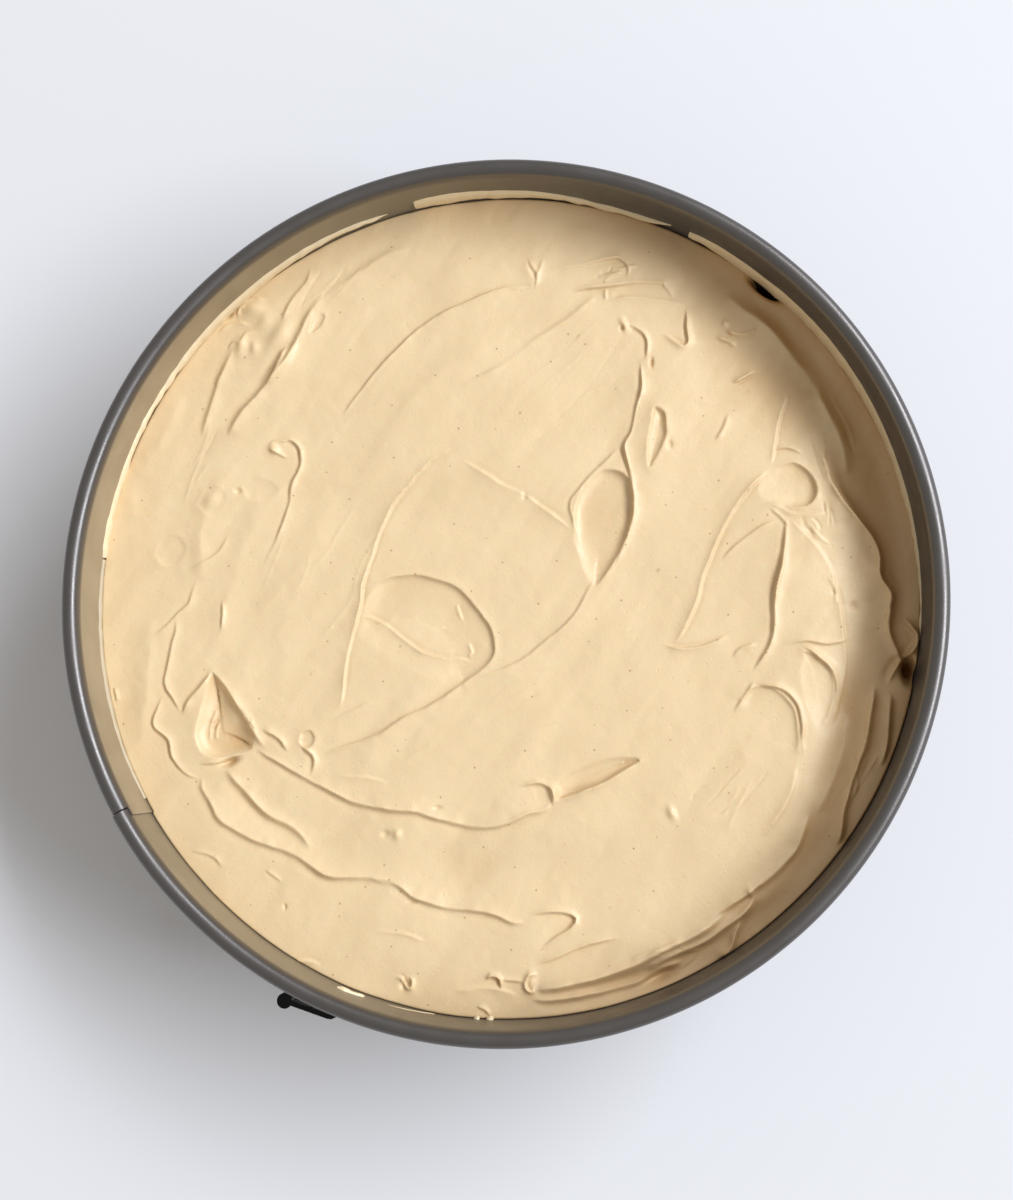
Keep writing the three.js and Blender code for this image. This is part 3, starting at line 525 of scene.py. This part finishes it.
def buildCake(material):
    cells = filling["cells"]
    u, v = discGrid(cells)
    turn = np.degrees(np.arctan2(v, u)).ravel() % 360
    past = (turn - tin["seamDegrees"] - tin["overlapDegrees"]) / tin["easeDegrees"]
    reach = cakeRadius + filling["edgeReach"]
    reach = reach + np.where(past > 0, tin["lap"] * smoothStep(1 - past), 0)
    x, y = u.ravel() * reach, v.ravel() * reach
    z = cakeTop(x, y)
    inset = reach - np.hypot(x, y)
    roll = filling["edgeRound"]
    past = 1 - np.clip(inset / roll, 0, 1)
    z -= roll * (1 - np.sqrt(np.clip(1 - past ** 2, 0, 1))) * filling["edgeDrop"]
    n = cells + 1
    index = np.arange(n * n).reshape(n, n)
    faces = np.stack([index[:-1, :-1], index[1:, :-1], index[1:, 1:], index[:-1, 1:]], -1).reshape(-1, 4)
    points = np.stack([x, y, z], 1)
    border = np.concatenate([index[:-1, 0], index[-1, :-1], index[:0:-1, -1], index[0, :0:-1]])  # once round
    low = cakeLow.z / mm
    rings = [border]
    for share in (0.12, 0.4, 0.7, 1.0):
        ring = points[border].copy()
        ring[:, 2] = ring[:, 2] * (1 - share) + low * share
        rings.append(len(points) + np.arange(len(border)))
        points = np.vstack([points, ring])
    sides = []
    for top, bottom in zip(rings[:-1], rings[1:]):
        sides.append(np.stack([top, bottom, np.roll(bottom, -1), np.roll(top, -1)], -1))
    last = rings[-1]
    faces = [tuple(f) for f in np.vstack([faces, *sides])] + [tuple(last[::-1])]
    cake = meshPiece("cheesecake_filling", points * mm, faces, material, sharp=180)
    thin = cake.modifiers.new("thin out where smooth", "DECIMATE")
    thin.ratio = filling["triangles"] / (2 * cells * cells + 9 * len(border))
    thinned = bpy.data.meshes.new_from_object(cake.evaluated_get(bpy.context.evaluated_depsgraph_get()))
    cake.modifiers.clear()
    cake.data = thinned
    print("filling triangles:", sum(len(p.vertices) - 2 for p in thinned.polygons))
    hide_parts("cheesecake")
    return cake


# The tin

tin = {
    "rollRadius": (rimRadius - wallRadius) / 2,
    "sheet": 0.6,
    "seamDegrees": 210,
    "overlapDegrees": 1,
    "lap": 0.4,  # seen on the rim and inside
    "outsideOverlap": 10,  # under the latch the outer end runs on further and stands out more
    "outsideLap": 0.75,
    "easeDegrees": 20,
    "grooveDepth": 2.2,
    "grooveLow": 3.8,
    "grooveHigh": 5.6,
    "footOut": 2.2,
    "footHigh": 1.3,
    "bend": 0.7,  # of the groove's corners
    "steps": 480,
    "openDegrees": 0.2,  # left between the side's two ends
    "baseSteps": 240,
    "baseThick": 0.9,
    "baseStep": (102.4, 104.8),  # radii between which the base drops to its edge
    "baseRound": 0.4,
}


def sideOutline():  # a closed run of (radius, height), up the outside and down the inside
    wall, sheet, roll = wallRadius, tin["sheet"], tin["rollRadius"]
    deep, low, high = tin["grooveDepth"], tin["grooveLow"], tin["grooveHigh"]
    centre = tinHeight - roll
    outer = deep + sheet
    foot, footHigh, bend = tin["footOut"], tin["footHigh"], tin["bend"]
    corners = [(wall + foot - 0.3, 0), (wall + foot, 0.4), (wall + foot, footHigh),
               (wall + foot - 1, footHigh + 0.5), (wall + outer - bend, low - 1.2),
               (wall + outer, low - 0.2), (wall + outer, high + 0.2),
               (wall + outer - bend, high + 1.2), (wall + sheet, high + 2.2)]
    rows = [tuple(q[:2]) for q in curveThrough([(*c, 0) for c in corners], 0.4)]
    rows += [(wall + sheet, z) for z in np.linspace(high + 6, centre - roll, 6)]
    for turn in np.arange(-115, 175, 10):
        a = math.radians(turn)
        rows.append((rimRadius - roll + roll * math.cos(a), centre + roll * math.sin(a)))
    rows += [(wall, z) for z in np.linspace(centre - 0.5, high + 3, 8)]
    corners = [(wall, high + 1.8), (wall + deep - bend, high + 0.9), (wall + deep, high), (wall + deep, low),
               (wall + deep - bend, low - 0.9), (wall, low - 1.8), (wall, 0.3), (wall + 0.3, 0)]
    rows += [tuple(q[:2]) for q in curveThrough([(*c, 0) for c in corners], 0.5)]
    return rows


def sweptFaces(total, count, closed=False):  # between a sweep's outlines of count points, and its two ends
    faces = []
    for i in range(total if closed else total - 1):
        j = (i + 1) % total
        for k in range(count):
            m = (k + 1) % count
            faces.append((i * count + k, j * count + k, j * count + m, i * count + m))
    if not closed:
        faces.append(tuple(range(count)))
        faces.append(tuple((total - 1) * count + k for k in reversed(range(count))))
    return faces


def sweepRound(outline, fromDegrees, toDegrees, steps, shiftAt, closed=False):
    rows = np.array(outline)
    turns = np.linspace(fromDegrees, toDegrees, steps + 1)[:steps if closed else None]
    points = []
    for turn in turns:
        a = math.radians(turn)
        r = rows[:, 0] + shiftAt(turn)
        points.append(np.stack([r * math.cos(a), r * math.sin(a), rows[:, 1]], 1))
    return np.vstack(points), sweptFaces(len(turns), len(rows), closed)


def lapShift(turn, overlap="overlapDegrees", lap="lap"):  # the outer end stands out, then eases back
    past = turn - tin["seamDegrees"] - tin[overlap]
    return tin[lap] * float(smoothStep(1 - past / tin["easeDegrees"]))


def buildTin(coated, coatedBase):
    start = tin["seamDegrees"]
    rows = np.array(sideOutline())
    outside = (rows[:, 0] > wallRadius + tin["sheet"] / 2) & (rows[:, 1] < tinHeight - 2 * tin["rollRadius"])

    def shiftAt(turn):
        return np.where(outside, lapShift(turn, "outsideOverlap", "outsideLap"), lapShift(turn))

    points, faces = sweepRound(rows, start, start + 360 - tin["openDegrees"], tin["steps"], shiftAt)
    side = meshPiece("tin_side", points * mm, faces, coated, sharp=40)
    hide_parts("side_ring")
    wall, sheet = wallRadius + 0.02, wallRadius + tin["lap"] - 0.02
    high = tinHeight - tin["rollRadius"]
    tongue = [(wall, 8.6), (sheet, 8.6), (sheet, high), (wall, high)]
    points, faces = sweepRound(tongue, start - 0.3, start + tin["overlapDegrees"], 8, lambda turn: 0)
    tail = meshPiece("tin_side_inner_end", points * mm, faces, coated, sharp=40)
    radius = (baseHigh.x - baseLow.x) / 2 / mm
    low, thick, edge = baseLow.z / mm, tin["baseThick"], tin["baseRound"]
    step = (baseHigh.z - baseLow.z) / mm - thick
    inner, outer = tin["baseStep"]
    rise = [(0.05, step), (inner, step), (inner + 0.6, step), (outer - 0.6, 0.1), (outer, 0),
            (radius - edge, 0), (radius, 0.3), (radius, thick - 0.3), (radius - edge, thick),
            (outer + 0.2, thick), (outer - 0.4, thick + 0.1),
            (inner + 0.8, thick + step), (inner + 0.2, thick + step), (0.05, thick + step)]
    outline = [(r, low + z) for r, z in rise]
    points, faces = sweepRound(outline, 0, 360, tin["baseSteps"], lambda turn: 0, closed=True)
    base = meshPiece("tin_base", points * mm, faces, coatedBase, sharp=40)
    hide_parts("base_plate")


# Cream left on the inside of the wall: how thick it is, and rows of degrees, lowest and highest.
wallSmears = {
    "cream_smear_top": (0.9, [
        (102.3, 49.6, 54.8), (101.9, 49.2, 55.4), (100, 48.9, 55.8), (97, 48.3, 55.8),
        (94.3, 49.2, 55.5), (90, 48.8, 54.5), (85, 49.5, 54.2), (80, 49.2, 52.6), (76.2, 47.6, 50.9),
        (72.2, 47.4, 50.4), (68.6, 47.9, 50.2), (65.2, 51.0, 51.5),
    ]),
    "cream_smear_right": (0.8, [
        (62.6, 49.6, 52.5), (60, 48.4, 53.4), (57.6, 46.4, 53.6), (54.3, 44.6, 53), (50.8, 44, 52.6),
        (45, 44, 53.2), (38, 44, 53.6), (30, 44, 52.6), (22, 44, 50.6), (15, 44, 49.0), (8, 44, 48.2),
        (2, 44, 47.6), (-6, 44, 47.0),
    ]),
    "cream_smear_left": (0.8, [
        (106.3, 50.9, 51.3), (110, 50.4, 52.4), (113.4, 50.2, 52.9), (120, 49.2, 52.9),
        (126, 47.5, 52.7), (130, 46.5, 52.2), (138.7, 47.4, 52.2), (146.7, 48.5, 51.2),
        (150, 48.9, 51.2), (153.3, 48.8, 51.4), (158, 48.6, 51), (160.8, 47, 50.8), (170.4, 47, 50.8),
        (173.6, 47.4, 49.9),
    ]),
    "cream_film_left": (0.35, [
        (173.8, 46.6, 49.4), (187, 46.6, 50.1), (195, 46.6, 50.4), (201, 46.6, 50.4), (209, 46.6, 49.0),
    ]),
    "cream_fleck_one": (0.7, [
        (247.4, 53.4, 54.1), (248.4, 52.6, 54.5), (249.3, 52.9, 54.0), (250.8, 51.8, 53.0),
        (251.4, 51.6, 52.0),
    ]),
    "cream_fleck_two": (0.4, [
        (254.6, 51.7, 52.0), (257, 50.8, 51.6), (259, 49.9, 50.6), (261.2, 49.0, 49.4),
    ]),
    "cream_fleck_three": (0.8, [(266.3, 48.0, 48.6), (266.8, 47.8, 49.4), (267.3, 48.0, 48.7)]),
    "cream_fleck_four": (0.9, [(268.0, 47.5, 48.4), (268.5, 47.3, 49.5), (269.1, 47.6, 48.6)]),
}


smearForm = {
    "seed": 5,
    "step": 0.2,  # degrees
    "offWall": 0.05,
    "wander": 0.14,  # of the upper and lower edges
    "lumps": 0.15,  # share of the thickness
    "fullHeight": 1.5,  # a smear less high than this is thinner
    "across": 8,  # points from its lower edge to its upper edge
}


def buildSmears(cream, dried):
    rng = np.random.default_rng(smearForm["seed"])
    for name, (thick, rows) in wallSmears.items():
        run = np.array(rows, float)
        turns = np.arange(min(run[0, 0], run[-1, 0]), max(run[0, 0], run[-1, 0]), smearForm["step"])
        order = np.argsort(run[:, 0])
        low = np.interp(turns, run[order, 0], run[order, 1])
        high = np.interp(turns, run[order, 0], run[order, 2])
        wobble = np.interp(turns, turns[::5], rng.standard_normal(len(turns[::5])))
        high = high + smearForm["wander"] * wobble * np.clip((high - low) / 3, 0, 1)
        low = low - smearForm["wander"] * np.roll(wobble, 7) * np.clip((high - low) / 3, 0, 1)
        across = np.linspace(0, 1, smearForm["across"])
        points = []
        for turn, bottom, top, lump in zip(turns, low, high, np.roll(wobble, 3)):
            a = math.radians(turn)
            past = turn % 360 - tin["seamDegrees"] - tin["overlapDegrees"]
            wall = wallRadius + smearForm["offWall"] + (lapShift(turn % 360) if past > 0 else 0)
            height = thick * min(1, (top - bottom) / smearForm["fullHeight"])
            height *= 1 + smearForm["lumps"] * lump
            inward = height * (1 - (2 * across - 1) ** 4)
            r = wall - inward
            z = bottom + across * (top - bottom)
            points.append(np.stack([r * math.cos(a), r * math.sin(a), z], 1))
        faces = sweptFaces(len(turns), len(across))
        smear = meshPiece(name, np.vstack(points) * mm, faces, dried if "film" in name else cream)


# Materials

def stretched(tree, value, fromLow, fromHigh, low=0.0, high=1.0):
    return addNode(tree, "ShaderNodeMapRange", {"Value": value, "From Min": fromLow, "From Max": fromHigh,
                                                "To Min": low, "To Max": high}).outputs[0]


def maths(tree, operation, first, second):
    return addNode(tree, "ShaderNodeMath", {0: first, 1: second}, operation=operation).outputs[0]


def mixed(tree, share, first, second):
    return addNode(tree, "ShaderNodeMix", {0: share, 6: first, 7: second}, data_type="RGBA").outputs[2]


def noise(tree, where, size, detail):  # size in millimetres
    return addNode(tree, "ShaderNodeTexNoise", {
        "Vector": where, "Scale": 1 / (size * mm), "Detail": detail}).outputs["Fac"]


def spots(tree, where, size):
    return addNode(tree, "ShaderNodeTexVoronoi", {
        "Vector": where, "Scale": 1 / (size * mm), "Randomness": 1.0})


def openness(tree, reach, samples):  # 1 in the open, less where surfaces within reach close it in
    around = addNode(tree, "ShaderNodeAmbientOcclusion", {"Distance": reach * mm}, samples=samples)
    return around.outputs["AO"]


def bump(tree, strength, depth, height):
    return addNode(tree, "ShaderNodeBump", {
        "Strength": strength, "Distance": depth * mm, "Height": height}).outputs[0]


def levelPart(tree, where):  # the vector from the tin's axis, and its length
    flat = addNode(tree, "ShaderNodeVectorMath", {0: where, 1: (1, 1, 0)}, operation="MULTIPLY").outputs[0]
    return flat, addNode(tree, "ShaderNodeVectorMath", {0: flat}, operation="LENGTH").outputs["Value"]


def finish(material, tree, **surface):
    links = {key.replace("_", " "): value for key, value in surface.items()}
    shader = addNode(tree, "ShaderNodeBsdfPrincipled", links)
    addNode(tree, "ShaderNodeOutputMaterial", {"Surface": shader.outputs[0]})
    return material


def caramelFilling():  # whipped cream cheese and caramel: pale, soft and slightly glossy, with fine pores
    material, tree = newMaterial("Whipped caramel cheesecake filling")
    where = addNode(tree, "ShaderNodeTexCoord").outputs["Object"]
    apart = addNode(tree, "ShaderNodeSeparateXYZ", {0: where})
    colour = mixed(tree, noise(tree, where, 14, 4.0), toLinear("dfc499"), toLinear("e8d1a8"))

    specks = spots(tree, where, 3.8)  # brown flecks of caramel
    small = stretched(tree, specks.outputs["Distance"], 0.04, 0.1, 0.6, 0.0)
    some = maths(tree, "GREATER_THAN", specks.outputs["Color"], 0.55)
    colour = mixed(tree, maths(tree, "MULTIPLY", small, some), colour, toLinear("8a5a2e"))

    deep = stretched(tree, openness(tree, 22, 6), 0.3, 0.92, 1.0, 0.0)  # warmer in the wall's shade
    shaded = stretched(tree, apart.outputs["X"], -40 * mm, 85 * mm, 0.12, 1.0)
    colour = mixed(tree, maths(tree, "MULTIPLY", deep, shaded), colour, toLinear("c39a66"))

    _, radius = levelPart(tree, where)
    within = stretched(tree, radius, 109 * mm, 112 * mm, 1.0, 0.0)
    creaseShade = stretched(tree, openness(tree, 3, 4), 0.4, 0.95, 0.5, 0.0)  # painted shade: browner in creases and hollows
    colour = mixed(tree, maths(tree, "MULTIPLY", creaseShade, within), colour, toLinear("b58a58"))
    # painted shade: browner where the top lies lower, in hollows and dips
    low = stretched(tree, apart.outputs["Z"], 45.0 * mm, 47.3 * mm, 0.8, 0.0)
    colour = mixed(tree, maths(tree, "MULTIPLY", low, within), colour, toLinear("bd9560"))

    grain = maths(tree, "ADD", noise(tree, where, 1.1, 3.0), noise(tree, where, 5, 2.0))
    pores = stretched(tree, spots(tree, where, 3.4).outputs["Distance"], 0.03, 0.11, 1.6, 0.0)
    height = maths(tree, "SUBTRACT", grain, pores)
    gloss = stretched(tree, noise(tree, where, 16, 2.0), 0.35, 0.65, 0.36, 0.48)  # wetter in places
    return finish(material, tree, Base_Color=colour, Roughness=gloss, IOR=1.45, Subsurface_Weight=0.22,
                  Subsurface_Radius=(1.0, 0.55, 0.28), Subsurface_Scale=1.4 * mm,
                  Normal=bump(tree, 0.25, 0.26, height))


def smearedCream(name, colour, roughness):  # the same cream spread thin: smooth and a little wetter
    material, tree = newMaterial(name)
    where = addNode(tree, "ShaderNodeTexCoord").outputs["Object"]
    return finish(material, tree, Base_Color=toLinear(colour), Roughness=roughness, IOR=1.45,
                  Normal=bump(tree, 0.4, 0.3, noise(tree, where, 2, 2.0)))


def wallFilmAndShade(tree, coords, cloud, film):  # how much of it there is, and its colour from left to right: cream on the left, painted shade on the right
    where = coords.outputs["Object"]
    flat, radius = levelPart(tree, where)
    facing = addNode(tree, "ShaderNodeVectorMath", {0: coords.outputs["Normal"], 1: flat},
                     operation="DOT_PRODUCT").outputs["Value"]
    apart = addNode(tree, "ShaderNodeSeparateXYZ", {0: where})
    limits = [
        stretched(tree, cloud, 0.25, 0.75, 0.75, 1.1),  # patchy
        maths(tree, "LESS_THAN", facing, 0.0),  # only on what faces inwards
        stretched(tree, apart.outputs["Z"], (tinHeight - 4.4) * mm, (tinHeight - 2.6) * mm, 1.0, 0.0),
    ]
    amount = stretched(tree, radius, (wallRadius + 0.05) * mm, (wallRadius + 1.2) * mm, 0.8, 0.0)
    for limit in limits:
        amount = maths(tree, "MULTIPLY", amount, limit)
    # painted shade: the film's colour turns dark grey towards the right, the side of the wall that faces
    # away from the light
    shadeToRight = stretched(tree, apart.outputs["X"], -100 * mm, 45 * mm)
    return amount, mixed(tree, shadeToRight, toLinear(film[0]), toLinear(film[1]))


def coatedSteel(name, colour, roughness, film=None):  # coating or plating: semi-gloss, finely pebbled
    material, tree = newMaterial(name)
    coords = addNode(tree, "ShaderNodeTexCoord")
    where = coords.outputs["Object"]
    cloud = noise(tree, where, 9, 5.0)
    rough = stretched(tree, cloud, 0.3, 0.7, roughness - 0.05, roughness + 0.07)
    base, metallic = toLinear(colour), 0.85
    if film:  # a thin dull film of cream spread over the inside, which lightens and warms it, with painted shade that darkens it towards the right
        amount, filmAndShade = wallFilmAndShade(tree, coords, cloud, film)
        base = mixed(tree, amount, base, filmAndShade)
        metallic = stretched(tree, amount, 0.0, 1.0, 0.85, 0.25)
    return finish(material, tree, Base_Color=base, Metallic=metallic, Roughness=rough,
                  Normal=bump(tree, 0.3, 0.09, noise(tree, where, 0.5, 2.0)))


def matteBoard():  # a matt painted board: pale and even
    material, tree = newMaterial("Matt painted board")
    return finish(material, tree, Base_Color=toLinear("dcdde0"), Roughness=0.7)


print("materials")
fillingMaterial = caramelFilling()
smearMaterial = smearedCream("Cream smeared on the wall", "ead6b0", 0.3)
driedMaterial = smearedCream("Cream dried to a thin film", "c4b89f", 0.32)
# the film's second colour is painted shade for the wall's right side
tinMaterial = coatedSteel("Non-stick coated steel", "6b6866", 0.38, film=("b3a589", "47474a"))
baseMaterial = coatedSteel("Non-stick coated steel base", "5a5755", 0.4)
leverMaterial = coatedSteel("Black enamelled steel", "1c1c1d", 0.22)
wireMaterial = coatedSteel("Zinc plated steel", "b4b4b0", 0.3)

print("tin")
buildTin(tinMaterial, baseMaterial)

print("cream left on the wall")
buildSmears(smearMaterial, driedMaterial)

print("filling")
buildCake(fillingMaterial)

brokenEdge = {"width": 0.18, "segments": 2, "overDegrees": 40}

print("latch")
for node, material in (("latch_lever", leverMaterial), ("latch_bail", wireMaterial),
                       ("latch_bracket", wireMaterial), ("latch_keeper", wireMaterial)):
    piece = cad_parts[node]
    piece.data.materials.clear()
    piece.data.materials.append(material)
    if node != "latch_bail":  # stamped sheet with its edges broken
        edges = piece.modifiers.new("edges broken", "BEVEL")
        edges.width = brokenEdge["width"] * mm
        edges.segments = brokenEdge["segments"]
        edges.limit_method = "ANGLE"
        edges.angle_limit = math.radians(brokenEdge["overDegrees"])

# Floor, light and camera

view = {
    "eye": (47, -42, 498),  # millimetres
    "aim": (3.35, -1.85, 66),
    "lens": 48.75,
}
light = {
    "towards": 17,  # degrees from +X round to +Y
    "height": 44,  # degrees above the table
    "distance": 4.8,
    "width": 5.2,
    "tall": 1.3,
    "power": 320,
    "window": "f1f6ff",
    "room": "fff9f2",
    "fill": 0.46,
}

floorMesh = bpy.data.meshes.new("floor")
half = 3  # metres
corners = [(-half, -half, 0), (half, -half, 0), (half, half, 0), (-half, half, 0)]
floorMesh.from_pydata(corners, [], [(0, 1, 2, 3)])
floorMesh.materials.append(matteBoard())
floor = bpy.data.objects.new("floor", floorMesh)
scene.collection.objects.link(floor)

world = bpy.data.worlds.new("soft room")
scene.world = world
world.use_nodes = True
world.node_tree.nodes["Background"].inputs[0].default_value = toLinear(light["room"])
world.node_tree.nodes["Background"].inputs[1].default_value = light["fill"]

turn, rise = math.radians(light["towards"]), math.radians(light["height"])
lampData = bpy.data.lights.new("window", "AREA")
lampData.shape = "RECTANGLE"
lampData.size = light["width"]
lampData.size_y = light["tall"]
lampData.energy = light["power"]
lampData.color = toLinear(light["window"])[:3]
lamp = bpy.data.objects.new("window", lampData)
lamp.location = light["distance"] * Vector((
    math.cos(turn) * math.cos(rise), math.sin(turn) * math.cos(rise), math.sin(rise)))
lamp.rotation_euler = (-lamp.location).to_track_quat("-Z", "Y").to_euler()
scene.collection.objects.link(lamp)

cameraData = bpy.data.cameras.new("camera")
cameraData.sensor_fit = "AUTO"
cameraData.sensor_width = 36
cameraData.lens = view["lens"]
cameraData.clip_start = 0.02
camera = bpy.data.objects.new("camera", cameraData)
eye, aim = Vector(view["eye"]) * mm, Vector(view["aim"]) * mm
forward = (aim - eye).normalized()
right = forward.cross(Vector((0, 1, 0))).normalized()
up = right.cross(forward)
camera.matrix_world = Matrix.Translation(eye) @ Matrix((right, up, -forward)).transposed().to_4x4()
scene.collection.objects.link(camera)
scene.camera = camera
scene.view_settings.view_transform = "Standard"
